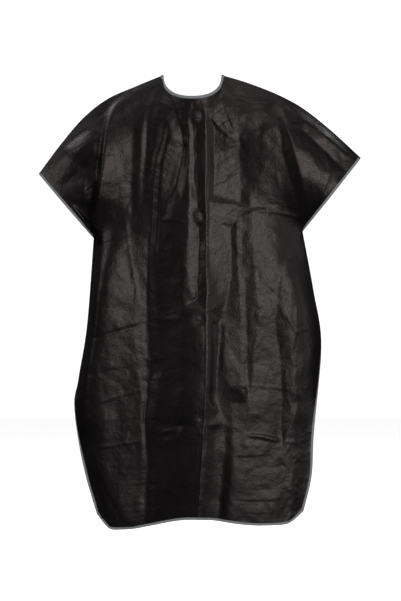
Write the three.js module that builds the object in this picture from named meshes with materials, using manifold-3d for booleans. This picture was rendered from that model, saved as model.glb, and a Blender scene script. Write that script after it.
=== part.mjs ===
// A salon client cape: a thin black gown with cut-on short sleeves, open down the front, closed by
// four snaps and bound all round with a narrow tape.
//
// Millimetres, +Z up. The origin is the middle of the neck opening, level with the two points where
// the neck edge crosses the shoulders. The wearer faces -Y, so the wearer's left is +X.
//
// The cape hangs as a cone from the neck: each front opens along a straight fold that runs from the
// neck edge to the hem, and the two front flaps turn about those folds.
import * as THREE from 'three';
import { mergeVertices } from 'three/addons/utils/BufferGeometryUtils.js';
import Module from 'manifold-3d';

const wasm = await Module();
wasm.setup();

// ---- Driving dimensions ----------------------------------------------------------------------

const CLOTH = 1.1; // thickness of a panel
const FACING = 0.9; // thickness of a placket facing
const GAP = 0.35; // clearance between layers that touch
const FOLD_GAP = 2; // from a front fold to the edge of the cloth on either side of it
const BINDING_FOLD_GAP = 5; // from a front fold to the end of a binding

// The neck edge is a rounded U from the front, and it dips in front and behind from the shoulders.
// squareness is above 1 where its corners are fuller than an ellipse's.
const NECK = {
  halfWidth: 70, frontDepth: 66, backDepth: 60, frontDrop: 57, backDrop: 48,
  squareness: 1.15, dipPower: 0.87,
};
// The front hem is an arc of an ellipse in plan, and it drops from the middle to the two folds
const HEM = {
  frontDepth: 138, backDepth: 130, frontHeight: -1051, backHeight: -1046, reach: 330,
  drop: { right: 26, left: 17 }, dropReach: 166,
};
const SLIT_EDGE_DEPTH = 45; // how far a slit edge stands from the side plane at the hem
const SLEEVE_HALF_DEPTH = 52;
const SHOULDER_ROUND = 80; // how far below the ridge the shoulder reaches its full depth
// A side's depth in plan is (1 - u^spread)^roundness of its inner line's depth
const PLAN = { spread: 2.2, bodyRoundness: 0.6, sleeveRoundness: 1, change: 0.2 };
const CHEST_BULGE = { right: 4, left: 14 }; // how far the chest stands out beyond a front fold
const SEAM_HALF_GAP = 1; // from the side plane to a seamed edge

const PLACKET = {
  over: { neck: [3, 34], hem: [8, 35] }, // x of the strip's inner line and free edge
  under: { neck: [-6, 26], hem: [-3, 29] }, // x of the strip's free edge and inner line
  share: 0.4, // share of a flap's columns that lies in its strip
  trim: 0.0075, // share of the height that a facing stops short of the neck and of the hem
};
const OVER_FOLD = { neck: -45, hem: -166 };
const UNDER_FOLD = { neck: 60, hem: 186 };

// Layers of the closed placket, measured outward from the cone
const OVER_PANEL = 3.6;
const OVER_FACING = OVER_PANEL - CLOTH / 2 - GAP - FACING / 2;
const UNDER_PANEL = -1.75;
const UNDER_FACING = UNDER_PANEL - CLOTH / 2 - GAP - FACING / 2;

// first and pitch are shares of the front's height, from the neck down
const SNAP = {
  first: 0.049, pitch: 0.24, count: 4, neckX: 12, hemX: 15, radius: 6, shaft: 1.5, hole: 2.2,
  gap: 0.5, // from its flat faces to the cloth, which curves under them
};

const BINDING = { width: 5, wall: 0.7, clear: 0.6 };
const SEAM = { start: 3, width: 8, thickness: 1 };

const UNDERARM = 0.7; // share of the outer edge, from the hem, that lies below the underarm

// Each side's outline in the XZ plane. The ridge runs from the neck out to the sleeve tip, and the
// edge from the hem corner up to the underarm. The two sides hang a little differently.
const SIDES = {
  right: {
    sign: -1,
    ridge: [[-70, 0], [-136, -27], [-205, -58], [-262, -103], [-316, -166], [-369, -237]],
    edge: [[-224, -1042], [-252, -948], [-281, -800], [-273, -725], [-253, -600], [-237, -391]],
    hem: [[-166, -1077], [-196, -1074], [-224, -1042]],
    backHem: [[0, -1046], [-110, -1062], [-190, -1062], [-218, -1032]],
    slitTop: (4 / 9) * UNDERARM,
  },
  left: {
    sign: 1,
    ridge: [[70, 0], [130, -18], [200, -45], [262, -78], [330, -131], [404, -199]],
    edge: [[262, -1038], [282, -955], [288, -850], [309, -650], [290, -515], [264, -375]],
    hem: [[186, -1068], [228, -1064], [262, -1038]],
    backHem: [[0, -1046], [130, -1054], [222, -1056], [256, -1030]],
    slitTop: (5 / 9) * UNDERARM,
  },
};

// ---- Small helpers ---------------------------------------------------------------------------

const vector = (x, y, z) => new THREE.Vector3(x, y, z);
const mix = THREE.MathUtils.lerp;
const splineOf = (points) => new THREE.SplineCurve(points.map(([x, z]) => new THREE.Vector2(x, z)));

// A power spacing of 0..1 that puts more steps near 1
const crowd = (t, power) => 1 - (1 - t) ** power;

// Moves every vertex of a closed geometry, merges the shared ones and turns its faces outward
function bend(geometry, place) {
  const bare = geometry.index ? geometry.toNonIndexed() : geometry;
  bare.deleteAttribute('normal');
  bare.deleteAttribute('uv');
  const position = bare.getAttribute('position');
  const point = new THREE.Vector3();
  for (let i = 0; i < position.count; i += 1) {
    point.fromBufferAttribute(position, i);
    const moved = place(point);
    position.setXYZ(i, moved.x, moved.y, moved.z);
  }
  const merged = mergeVertices(bare, 1e-4);
  if (signedVolume(merged) < 0) merged.index.array.reverse();
  merged.computeVertexNormals();
  return merged;
}

function signedVolume(geometry) {
  const position = geometry.getAttribute('position');
  const corners = [new THREE.Vector3(), new THREE.Vector3(), new THREE.Vector3()];
  let volume = 0;
  for (let i = 0; i < geometry.index.count; i += 3) {
    corners.forEach((corner, k) => corner.fromBufferAttribute(position, geometry.index.getX(i + k)));
    volume += corners[0].dot(corners[1].clone().cross(corners[2])) / 6;
  }
  return volume;
}

// The direction out of surface(u, v). Its turn is 1 where u, v and the way out are right-handed.
function normalAt(surface, u, v) {
  const step = 1e-3;
  const [u0, u1] = [Math.max(0, u - step), Math.min(1, u + step)];
  const [v0, v1] = [Math.max(0, v - step), Math.min(1, v + step)];
  const along = surface(u1, v).sub(surface(u0, v));
  const up = surface(u, v1).sub(surface(u, v0));
  return along.cross(up).normalize().multiplyScalar(surface.turn);
}

// ---- The shape that the cloth hangs in -------------------------------------------------------

// A point of the neck edge at a given x, on the front or the back
function neckPoint(x, back) {
  const sine = Math.min(1, Math.abs(x / NECK.halfWidth) ** NECK.squareness);
  const cosine = Math.sqrt(1 - sine * sine);
  const y = back ? NECK.backDepth * cosine : -NECK.frontDepth * cosine;
  const drop = back ? NECK.backDrop : NECK.frontDrop;
  return vector(x, y, -drop * cosine ** NECK.dipPower);
}

// A point of the front hem at a given x
function hemPoint(x) {
  const arch = Math.sqrt(1 - (x / HEM.reach) ** 2);
  const share = Math.sin((Math.min(1, Math.abs(x) / HEM.dropReach) * Math.PI) / 2) ** 2;
  const drop = x < 0 ? HEM.drop.right : HEM.drop.left;
  return vector(x, -HEM.frontDepth * arch, HEM.frontHeight - drop * share);
}

// A straight line from the neck edge to the hem
function generator(neckX, hemX, v) {
  return hemPoint(hemX).lerp(neckPoint(neckX, false), v);
}

// A front flap: straight lines from the neck edge to the hem, lifted outward by lift(u).
// lines(u) gives the x of each line at the neck and at the hem.
function flapSurface(lines, lift) {
  const surface = (u, v) => {
    const [neckX, hemX] = lines(u);
    const point = generator(neckX, hemX, v);
    point.y -= lift(u);
    return point;
  };
  surface.turn = 1;
  return surface;
}

// One side of the cape, front or back, from its inner line (u = 0) to its outer edge (u = 1), and
// from the hem (v = 0) to the neck and the shoulder ridge (v = 1). bulge is how far the chest stands
// out beyond the inner line.
function sideSurface(side, { back, neckX, neckShare, innerHem, hem, bulge = 0 }) {
  const ridge = splineOf(side.ridge);
  const edge = splineOf(side.edge);
  const bottom = splineOf(hem);
  const innerNeck = neckPoint(neckX, back);
  const outwardSign = back ? 1 : -1;
  const angle0 = Math.asin(Math.abs(neckX / NECK.halfWidth) ** NECK.squareness);
  const tip = ridge.getPoint(1);
  const underarm = edge.getPoint(1);

  const top = (u) => {
    if (u >= neckShare) {
      const point = ridge.getPointAt((u - neckShare) / (1 - neckShare));
      return vector(point.x, outwardSign * SEAM_HALF_GAP, point.y);
    }
    const angle = mix(angle0, Math.PI / 2, u / neckShare);
    const x = NECK.halfWidth * Math.sin(angle) ** (1 / NECK.squareness);
    const point = neckPoint(side.sign * x, back);
    point.y = outwardSign * Math.max(SEAM_HALF_GAP, Math.abs(point.y));
    return point;
  };
  const outer = (v) => {
    if (v <= UNDERARM) return edge.getPointAt(v / UNDERARM);
    return underarm.clone().lerp(tip, (v - UNDERARM) / (1 - UNDERARM));
  };
  const innerDepth = (v) => Math.abs(mix(innerHem.y, innerNeck.y, v));
  const outerDepth = (v) => {
    if (v > UNDERARM) {
      const share = (v - UNDERARM) / (1 - UNDERARM);
      return SEAM_HALF_GAP + SLEEVE_HALF_DEPTH * Math.sin(Math.PI * share) ** 1.2;
    }
    const open = THREE.MathUtils.smoothstep(side.slitTop - v, 0, side.slitTop);
    return SEAM_HALF_GAP + SLIT_EDGE_DEPTH * open;
  };
  const fullDepth = (u, v) => {
    const sleeve = THREE.MathUtils.smoothstep(v, UNDERARM - PLAN.change, UNDERARM);
    const roundness = mix(PLAN.bodyRoundness, PLAN.sleeveRoundness, sleeve);
    const chest = bulge * v * Math.sin(Math.PI * u);
    return mix(outerDepth(v), innerDepth(v), (1 - u ** PLAN.spread) ** roundness) + chest;
  };
  const shoulder = (v) => {
    const below = ((1 - v) * Math.abs(HEM.frontHeight)) / SHOULDER_ROUND;
    return Math.max(0, 1 - below) ** 2;
  };

  // In the XZ plane the four boundaries are blended as a Coons patch. The inner line is straight,
  // so its own blend and the corners' cancel there.
  const surface = (u, v) => {
    const outerPoint = outer(v);
    const topPoint = top(u);
    const bottomPoint = bottom.getPoint(u);
    const hemCorner = edge.getPoint(0);
    const patch = (name, flat) => {
      const upward = mix(bottomPoint[flat], topPoint[name], v);
      return upward + u * (outerPoint[flat] - mix(hemCorner[flat], tip[flat], v));
    };
    const depth = fullDepth(u, v) - shoulder(v) * (fullDepth(u, 1) - Math.abs(topPoint.y));
    return vector(patch('x', 'x'), outwardSign * depth, patch('z', 'y'));
  };
  surface.turn = -outwardSign * side.sign;
  return surface;
}

const smooth = (t) => THREE.MathUtils.smoothstep(t, 0, 1);
const FAN = 1 - PLACKET.share; // share of a flap's columns that fans out from the fold

// The lines of the over flap run from its fold (u = 0) to its free edge (u = 1)
const overFlap = flapSurface((u) => {
  const { neck, hem } = PLACKET.over;
  if (u < FAN) return [mix(OVER_FOLD.neck, neck[0], u / FAN), mix(OVER_FOLD.hem, hem[0], u / FAN)];
  const across = (u - FAN) / PLACKET.share;
  return [mix(...neck, across), mix(...hem, across)];
}, (u) => OVER_PANEL * smooth(u / FAN));

// The lines of the under flap run from its free edge (u = 0) to its fold (u = 1)
const underFlap = flapSurface((u) => {
  const { neck, hem } = PLACKET.under;
  if (u > PLACKET.share) {
    const across = (u - PLACKET.share) / FAN;
    return [mix(neck[1], UNDER_FOLD.neck, across), mix(hem[1], UNDER_FOLD.hem, across)];
  }
  const across = u / PLACKET.share;
  return [mix(...neck, across), mix(...hem, across)];
}, (u) => UNDER_PANEL * smooth((1 - u) / FAN));

// Share of a side's columns that starts on the neck edge rather than on the shoulder ridge
const RIGHT_NECK_SHARE = 0.16;
const LEFT_NECK_SHARE = 0.12;
const BACK_NECK_SHARE = 0.25;

const rightSide = sideSurface(SIDES.right, {
  back: false, neckX: OVER_FOLD.neck, neckShare: RIGHT_NECK_SHARE, innerHem: hemPoint(OVER_FOLD.hem),
  hem: SIDES.right.hem, bulge: CHEST_BULGE.right,
});
const leftSide = sideSurface(SIDES.left, {
  back: false, neckX: UNDER_FOLD.neck, neckShare: LEFT_NECK_SHARE, innerHem: hemPoint(UNDER_FOLD.hem),
  hem: SIDES.left.hem, bulge: CHEST_BULGE.left,
});
const backCentreHem = vector(0, HEM.backDepth, HEM.backHeight);
const backRight = sideSurface(SIDES.right, {
  back: true, neckX: 0, neckShare: BACK_NECK_SHARE, innerHem: backCentreHem, hem: SIDES.right.backHem,
});
const backLeft = sideSurface(SIDES.left, {
  back: true, neckX: 0, neckShare: BACK_NECK_SHARE, innerHem: backCentreHem, hem: SIDES.left.backHem,
});

// The whole back as one surface, from the right edge (u = 0) to the left edge (u = 1)
const backSurface = (u, v) => (u < 0.5 ? backRight(1 - 2 * u, v) : backLeft(2 * u - 1, v));
backSurface.turn = -1;

// ---- Cloth pieces ----------------------------------------------------------------------------

// A sheet of even thickness: a box of rows and columns bent onto the surface, centred on it.
// A panel's columns and rows are the u and v of its grid lines.
function sheet({ surface, columns, rows }, thickness) {
  const [across, up] = [columns.length - 1, rows.length - 1];
  const box = new THREE.BoxGeometry(across, up, 1, across, up, 1);
  return bend(box, (point) => {
    const u = columns[Math.round(point.x + across / 2)];
    const v = rows[Math.round(point.y + up / 2)];
    return surface(u, v).addScaledVector(normalAt(surface, u, v), point.z * thickness);
  });
}

// count + 1 even steps from low to high
function steps(count, low = 0, high = 1) {
  return Array.from({ length: count + 1 }, (_, i) => mix(low, high, i / count));
}

// Grid rows: even from the hem to the underarm, then closer towards both ends of the sleeve edge
const SLEEVE_ROWS = [0.03, 0.12, 0.27, 0.45, 0.62, 0.77, 0.89, 0.97].map((t) => mix(UNDERARM, 1, t));
const ROWS = [...steps(9, 0, UNDERARM), ...SLEEVE_ROWS, 1];
const FLAP_ROWS = steps(10);

// Grid columns of a side: a few round the neck edge, then closer towards the outer edge
function sideColumns(neckShare, neckCount, count) {
  const rest = steps(count).map((t) => mix(neckShare, 1, crowd(t, 1.4)));
  return [...steps(neckCount, 0, neckShare), ...rest.slice(1)];
}

// The u at which a surface has come a given distance from its edge at u = from
function inset(surface, from, distance, v) {
  const width = surface(0, v).distanceTo(surface(1, v));
  return from === 0 ? distance / width : 1 - distance / width;
}

// A surface whose edge at u = 0 or u = 1 is drawn back from a fold by a fixed distance
function clearOfFold(surface, from, distance) {
  const trimmed = (u, v) => {
    const limit = inset(surface, from, distance, v);
    return surface(from === 0 ? mix(limit, 1, u) : mix(0, limit, u), v);
  };
  trimmed.turn = surface.turn;
  return trimmed;
}

// Cuts round holes along the given axes
function pierce(geometry, holes, radius) {
  let solid = solidOf(geometry);
  for (const { point, axis } of holes) {
    const cutter = new THREE.CylinderGeometry(radius, radius, 30, 12);
    cutter.applyQuaternion(new THREE.Quaternion().setFromUnitVectors(vector(0, 1, 0), axis));
    cutter.translate(point.x, point.y, point.z);
    solid = solid.subtract(solidOf(cutter));
  }
  return geometryOf(solid);
}

function geometryOf(solid) {
  const mesh = solid.getMesh();
  const geometry = new THREE.BufferGeometry();
  const position = Float32Array.from(mesh.vertProperties);
  geometry.setAttribute('position', new THREE.BufferAttribute(position, 3));
  geometry.setIndex(Array.from(mesh.triVerts));
  geometry.computeVertexNormals();
  return geometry;
}

function solidOf(geometry) {
  const bare = geometry.clone();
  bare.deleteAttribute('normal');
  bare.deleteAttribute('uv');
  const merged = mergeVertices(bare, 1e-4);
  return new wasm.Manifold(new wasm.Mesh({
    numProp: 3,
    vertProperties: Float32Array.from(merged.getAttribute('position').array),
    triVerts: Uint32Array.from(merged.index.array),
  }));
}

// A binding: a U section folded round a raw edge, bent along the stations of that edge. Each
// station has its point on the edge, a point further into the cloth and the cloth's normal, so the
// lips follow the cloth's own grid lines.
function binding(stations) {
  const inner = CLOTH / 2 + BINDING.clear;
  const outer = inner + BINDING.wall;
  const outline = [
    [BINDING.width, -outer], [BINDING.width, -inner], [-GAP, -inner], [-GAP, inner],
    [BINDING.width, inner], [BINDING.width, outer],
    [-GAP - BINDING.wall, outer], [-GAP - BINDING.wall, -outer],
  ];
  const section = new THREE.Shape(outline.map(([x, y]) => new THREE.Vector2(x, y)));
  const count = stations.length - 1;
  const straight = new THREE.ExtrudeGeometry(section, {
    depth: count, steps: count, bevelEnabled: false,
  });
  return bend(straight, (point) => {
    const { edge, within, normal } = stations[Math.round(point.z)];
    const inward = within.clone().sub(edge).normalize();
    return edge.clone().addScaledVector(inward, point.x).addScaledVector(normal, point.y);
  });
}

// A station of a binding at (u, v) of a surface, with the next grid lines in from the edge
const station = (surface, u, v, nextU, nextV) => ({
  edge: surface(u, v), within: surface(nextU, nextV), normal: normalAt(surface, u, v),
});

// Stations along a panel's neck or hem, at the given columns
function alongRow({ surface, rows }, columns, end) {
  const [v, nextV] = end === 'neck' ? [1, rows[rows.length - 2]] : [0, rows[1]];
  return columns.map((u) => station(surface, u, v, u, nextV));
}

// Stations up a panel's outer edge, at the given rows. One at the hem stands on the corner.
function alongColumn({ surface, columns, rows }, edgeRows, u) {
  const nextU = u === 0 ? columns[1] : columns[columns.length - 2];
  return edgeRows.map((v) => station(surface, u, v, nextU, v === 0 ? rows[1] : v));
}

// Draws the first station towards the second by a distance
function drawnBack([first, second, ...rest], distance) {
  const share = distance / first.edge.distanceTo(second.edge);
  const moved = {};
  for (const key of ['edge', 'within', 'normal']) {
    moved[key] = first[key].clone().lerp(second[key], share);
  }
  return [moved, second, ...rest];
}

// A seam allowance: two cloth edges pressed together, standing inward from the seam in the side
// plane. line(t) is the seam in the XZ plane and inward its direction into the cape.
function seamAllowance(line, inward, count) {
  const strip = new THREE.BoxGeometry(count, SEAM.width, SEAM.thickness, count, 1, 1);
  return bend(strip, (point) => {
    const t = (point.x + count / 2) / count;
    const reach = SEAM.start + SEAM.width / 2 + point.y;
    const at = line(t);
    return vector(at.x + inward(t).x * reach, point.z, at.y + inward(t).y * reach);
  });
}

// ---- Snaps -----------------------------------------------------------------------------------

// Lathe profiles, each as [radius, height], with height measured outward from the cone
const overFace = OVER_PANEL + CLOTH / 2 + SNAP.gap;
const overBack = OVER_FACING - FACING / 2 - SNAP.gap;
const underFace = UNDER_PANEL + CLOTH / 2 + SNAP.gap;
const underBack = UNDER_FACING - FACING / 2 - SNAP.gap;

const SNAP_PROFILES = {
  // Domed outer cap with its rivet, which passes through the panel and its facing
  snap_cap: [
    [0, overBack + 0.05], [SNAP.shaft, overBack + 0.05], [SNAP.shaft, overFace],
    [SNAP.radius, overFace], [SNAP.radius, overFace + 0.6], [SNAP.radius * 0.7, overFace + 1.3],
    [0, overFace + 1.6],
  ],
  // Socket: a ring with a seat for the cap's rivet above and a well for the knob below
  snap_socket: [
    [1.85, overBack], [1.85, 0.95], [2.8, 0.95], [2.8, 0], [4.8, 0], [5.4, 0.3], [5.4, overBack],
    [1.85, overBack],
  ],
  // Stud: a flange on the under panel with the knob that clicks into the socket
  snap_stud: [
    [0, underFace], [4.8, underFace], [4.8, underFace + 0.35], [2.1, underFace + 0.5],
    [2.3, 0.4], [1.9, 0.7], [0, 0.7],
  ],
  // Flat cap behind the under panel, with the rivet that reaches up to the stud
  snap_back_cap: [
    [0, underBack - 1.2], [5, underBack - 1.2], [5, underBack], [SNAP.shaft, underBack],
    [SNAP.shaft, underFace - SNAP.gap], [0, underFace - SNAP.gap],
  ],
};

function latheOf(profile) {
  return new THREE.LatheGeometry(profile.map(([r, h]) => new THREE.Vector2(r, h)), 14);
}

// Where each snap sits: a point of the cone on the placket and the direction out of it
const snapSeats = Array.from({ length: SNAP.count }, (_, i) => {
  const v = 1 - SNAP.first - i * SNAP.pitch;
  const line = (side, t) => generator(SNAP.neckX + side, SNAP.hemX + side, t);
  const across = line(SNAP.radius, v).sub(line(-SNAP.radius, v));
  const up = line(0, 1).sub(line(0, 0));
  return { point: line(0, v), axis: across.cross(up).normalize() };
});

// ---- Materials -------------------------------------------------------------------------------

const blackCloth = { color: 0x1c1b1b, roughness: 0.42, metalness: 0 };
const tape = { color: 0x6c6e70, roughness: 0.8, metalness: 0 };
const snapPlastic = { color: 0x141414, roughness: 0.3, metalness: 0 };

// ---- Assembly --------------------------------------------------------------------------------

const cape = new THREE.Group();

function add(name, geometry, look) {
  const mesh = new THREE.Mesh(geometry, new THREE.MeshStandardMaterial(look));
  mesh.name = name;
  cape.add(mesh);
  return mesh;
}

// Each panel is a surface with the columns and rows of its grid
const halfColumns = sideColumns(BACK_NECK_SHARE, 6, 7);
const backColumns = [
  ...halfColumns.map((t) => 0.5 - t / 2).reverse(), ...halfColumns.slice(1).map((t) => 0.5 + t / 2),
];
const overColumns = [...steps(4, 0, FAN), ...steps(2, FAN, 1).slice(1)];
const PANELS = {
  back_panel: { surface: backSurface, columns: backColumns, rows: ROWS },
  right_front_side: {
    surface: clearOfFold(rightSide, 0, FOLD_GAP), rows: ROWS,
    columns: sideColumns(RIGHT_NECK_SHARE, 3, 9),
  },
  left_front_side: {
    surface: clearOfFold(leftSide, 0, FOLD_GAP), rows: ROWS,
    columns: sideColumns(LEFT_NECK_SHARE, 2, 9),
  },
  right_front_flap: {
    surface: clearOfFold(overFlap, 0, FOLD_GAP), columns: overColumns, rows: FLAP_ROWS,
  },
  left_front_flap: {
    surface: clearOfFold(underFlap, 1, FOLD_GAP), rows: FLAP_ROWS,
    columns: overColumns.map((u) => 1 - u).reverse(),
  },
};
for (const [name, panel] of Object.entries(PANELS)) {
  const cloth = sheet(panel, CLOTH);
  add(name, name.endsWith('flap') ? pierce(cloth, snapSeats, SNAP.hole) : cloth, blackCloth);
}

// Placket facings, behind the strips that carry the snaps
function facing(flap, layer, panelLayer, columns) {
  const surface = (u, v) => {
    const point = flap(u, v);
    point.y += panelLayer - layer;
    return point;
  };
  surface.turn = 1;
  const rows = steps(10, PLACKET.trim, 1 - PLACKET.trim);
  return pierce(sheet({ surface, columns, rows }, FACING), snapSeats, SNAP.hole);
}
const overStrip = steps(2, FAN, 1);
const underStrip = steps(2, 0, PLACKET.share);
add('right_placket_facing', facing(overFlap, OVER_FACING, OVER_PANEL, overStrip), blackCloth);
add('left_placket_facing', facing(underFlap, UNDER_FACING, UNDER_PANEL, underStrip), blackCloth);

// Bindings
const addBinding = (name, stations) => add(name, binding(stations), tape);
const FOLD_END = BINDING_FOLD_GAP - FOLD_GAP;
const SHOULDER_END = 2; // how far a neck binding stops short of the shoulder ridge

// The neck edge of each panel, from the fold to the shoulder or to the free edge
for (const [name, share] of [['right', RIGHT_NECK_SHARE], ['left', LEFT_NECK_SHARE]]) {
  const side = PANELS[`${name}_front_side`];
  const columns = side.columns.filter((u) => u < share + 1e-9);
  const edge = drawnBack(alongRow(side, columns, 'neck'), FOLD_END);
  const trimmed = drawnBack(edge.reverse(), SHOULDER_END);
  addBinding(`neck_binding_${name}_side`, trimmed);

  const flap = PANELS[`${name}_front_flap`];
  const fromFold = name === 'right' ? flap.columns : [...flap.columns].reverse();
  for (const end of ['neck', 'hem']) {
    const stations = drawnBack(alongRow(flap, fromFold, end), FOLD_END);
    addBinding(`${end}_binding_${name}_flap`, stations);
  }
}
const BACK_TAPE_SHARE = 0.8; // share of the back neck that its binding covers, clear of the seams
const backNeck = backColumns.filter(
  (u) => Math.abs(u - 0.5) < (BACK_TAPE_SHARE * BACK_NECK_SHARE) / 2);
addBinding('neck_binding_back', alongRow(PANELS.back_panel, backNeck, 'neck'));

// The hem of each side, from the fold round the corner and up the slit
const slitRows = (side) => ROWS.filter((v) => v < side.slitTop + 1e-9);
for (const [name, side] of Object.entries(SIDES)) {
  const panel = PANELS[`${name}_front_side`];
  addBinding(`hem_binding_${name}_side`, [
    ...drawnBack(alongRow(panel, panel.columns.slice(0, -1), 'hem'), FOLD_END),
    ...alongColumn(panel, slitRows(side), 1),
  ]);
}
addBinding('hem_binding_back', [
  ...alongColumn(PANELS.back_panel, slitRows(SIDES.right), 0).reverse(),
  ...alongRow(PANELS.back_panel, backColumns.slice(1, -1), 'hem'),
  ...alongColumn(PANELS.back_panel, slitRows(SIDES.left), 1),
]);

// The sleeve edges of the front and back panels, which are bound before the sides are sewn
for (const [name, backEdge] of [['right', 0], ['left', 1]]) {
  const front = PANELS[`${name}_front_side`];
  const frontStations = alongColumn(front, SLEEVE_ROWS, 1);
  addBinding(`sleeve_binding_${name}_front`, frontStations);
  const backStations = alongColumn(PANELS.back_panel, SLEEVE_ROWS, backEdge);
  addBinding(`sleeve_binding_${name}_back`, backStations);
}

// Seam allowances inside the shoulders and the sides
for (const [name, side] of Object.entries(SIDES)) {
  const ridge = splineOf(side.ridge);
  const edge = splineOf(side.edge);
  const across = (curve, t) => {
    const tangent = curve.getTangentAt(t);
    return new THREE.Vector2(tangent.y, -tangent.x).multiplyScalar(side.sign);
  };
  const along = (t) => mix(0.03, 0.96, t);
  const down = (t) => mix(side.slitTop / UNDERARM + 0.03, 0.985, t);
  add(`shoulder_seam_${name}`, seamAllowance(
    (t) => ridge.getPointAt(along(t)), (t) => across(ridge, along(t)), 10), blackCloth);
  add(`side_seam_${name}`, seamAllowance(
    (t) => edge.getPointAt(down(t)), (t) => across(edge, down(t)).negate(), 10), blackCloth);
}

// Snaps, numbered from the neck down: cap and socket on the over flap, stud and back cap under it
for (const [piece, profile] of Object.entries(SNAP_PROFILES)) {
  snapSeats.forEach(({ point, axis }, i) => {
    const mesh = add(`${piece}_${i + 1}`, latheOf(profile), snapPlastic);
    mesh.position.copy(point);
    mesh.quaternion.setFromUnitVectors(vector(0, 1, 0), axis);
  });
}

export default cape;
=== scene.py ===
import math

import bpy
import numpy as np
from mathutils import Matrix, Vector
from mathutils.bvhtree import BVHTree
from mathutils.geometry import delaunay_2d_cdt


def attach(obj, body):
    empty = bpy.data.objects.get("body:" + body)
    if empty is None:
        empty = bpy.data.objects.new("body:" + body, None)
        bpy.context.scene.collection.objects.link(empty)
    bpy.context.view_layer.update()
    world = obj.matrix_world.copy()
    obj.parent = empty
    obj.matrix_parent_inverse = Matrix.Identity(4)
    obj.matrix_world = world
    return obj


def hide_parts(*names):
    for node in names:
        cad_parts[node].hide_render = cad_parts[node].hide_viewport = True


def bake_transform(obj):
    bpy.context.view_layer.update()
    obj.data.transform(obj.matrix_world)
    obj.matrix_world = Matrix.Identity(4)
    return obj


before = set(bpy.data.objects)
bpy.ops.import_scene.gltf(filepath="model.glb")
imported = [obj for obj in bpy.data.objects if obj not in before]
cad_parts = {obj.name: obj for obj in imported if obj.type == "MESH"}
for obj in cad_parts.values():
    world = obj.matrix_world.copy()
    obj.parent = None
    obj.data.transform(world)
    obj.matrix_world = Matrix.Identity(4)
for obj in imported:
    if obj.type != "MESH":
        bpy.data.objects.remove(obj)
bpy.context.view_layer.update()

MM = 0.001

# ---- The surfaces that the cloth hangs in: the CAD model's, but fuller near the sides

NECK = dict(half_width=70, front_depth=66, back_depth=60, front_drop=57, back_drop=48,
            squareness=1.15, power=0.87)
HEM = dict(front_depth=138, back_depth=130, front_z=-1051, reach=330, drop_reach=166)
SLIT_DEPTH, SLEEVE_HALF_DEPTH, SLEEVE_ARC, SHOULDER_ROUND, SEAM_HALF_GAP = 45, 52, 1.2, 80, 0.3
# A plan is how the depth falls away towards the side: (spread, roundness). The skirt's turns into
# the body's from SKIRT_TOP up, and the body's into the sleeve's up to UNDERARM, as shares of v.
SLEEVE_PLAN, BACK_PLAN = (2.2, 1.0), (2.4, 0.55)
UNDERARM, SLEEVE_RISE = 0.7, 0.2
SKIRT_TOP, SKIRT_RISE = 0.15, 0.25
BACK_NECK_SHARE = 0.25  # of the back's columns, as neck_share is of a front side's
STRIP_SHARE = 0.4  # the share of a flap's columns that are on its placket strip
FAN = 1 - STRIP_SHARE
FACING_STEP = 1.35  # from a front down to its facing

# The wearer's sides. fold is x at the neck and at the hem, strip is x of the stitched line and the
# free edge at each, layer is how far the flap lies outward of the cone that the fronts hang in,
# bend is the width of the bend at the fold, and hand is the way the grid faces.
SIDES = {
    "right": dict(
        sign=-1, slit_top=UNDERARM * 4 / 9, neck_share=0.16, hem_drop=26, bulge=4,
        body_plan=(8.0, 0.42), skirt_plan=(4.0, 0.48),
        fold=(-45, -166), strip=((3, 34), (8, 35)), layer=3.6, bend=40, hand=1,
        ridge=((-70, 0), (-136, -27), (-205, -58), (-262, -103), (-316, -166), (-369, -237)),
        edge=((-224, -1042), (-252, -948), (-281, -800), (-273, -725), (-253, -600), (-237, -391)),
        hem=((-166, -1077), (-196, -1074), (-224, -1042)),
        back_hem=((0, -1046), (-110, -1062), (-190, -1062), (-218, -1032)),
    ),
    "left": dict(
        sign=1, slit_top=UNDERARM * 5 / 9, neck_share=0.12, hem_drop=17, bulge=14,
        body_plan=(3.0, 0.5), skirt_plan=(2.4, 0.55),
        fold=(60, 186), strip=((26, -6), (29, -3)), layer=-1.75, bend=28, hand=-1,
        ridge=((70, 0), (130, -18), (200, -45), (262, -78), (330, -131), (404, -199)),
        edge=((262, -1038), (282, -955), (288, -850), (309, -650), (290, -515), (264, -375)),
        hem=((186, -1068), (228, -1064), (262, -1038)),
        back_hem=((0, -1046), (130, -1054), (222, -1056), (256, -1030)),
    ),
}


def mix(a, b, t):
    return a + (b - a) * t


def smoothstep(t):
    t = np.clip(t, 0, 1)
    return t * t * (3 - 2 * t)


def spline(points, t):
    """The Catmull-Rom curve through the points, at t from 0 to 1 along its spans."""
    points = np.array(points, float)
    n = len(points)
    at = np.clip(np.asarray(t, float), 0, 1) * (n - 1)
    i = np.minimum(at.astype(int), n - 2)
    w = (at - i)[..., None]
    p0, p1, p2, p3 = (points[np.clip(i + k, 0, n - 1)] for k in (-1, 0, 1, 2))
    v0, v1 = (p2 - p0) / 2, (p3 - p1) / 2
    return ((2 * p1 - 2 * p2 + v0 + v1) * w**3 + (3 * p2 - 3 * p1 - 2 * v0 - v1) * w**2
            + v0 * w + p1)


def lengths(line):
    """How far along a line each of its points is."""
    return np.concatenate([[0], np.cumsum(np.linalg.norm(np.diff(line, axis=0), axis=1))])


def spline_even(points, s):
    """The same curve, at s from 0 to 1 along its length."""
    t = np.linspace(0, 1, 401)
    along = lengths(spline(points, t))
    return spline(points, np.interp(np.clip(s, 0, 1), along / along[-1], t))


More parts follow.
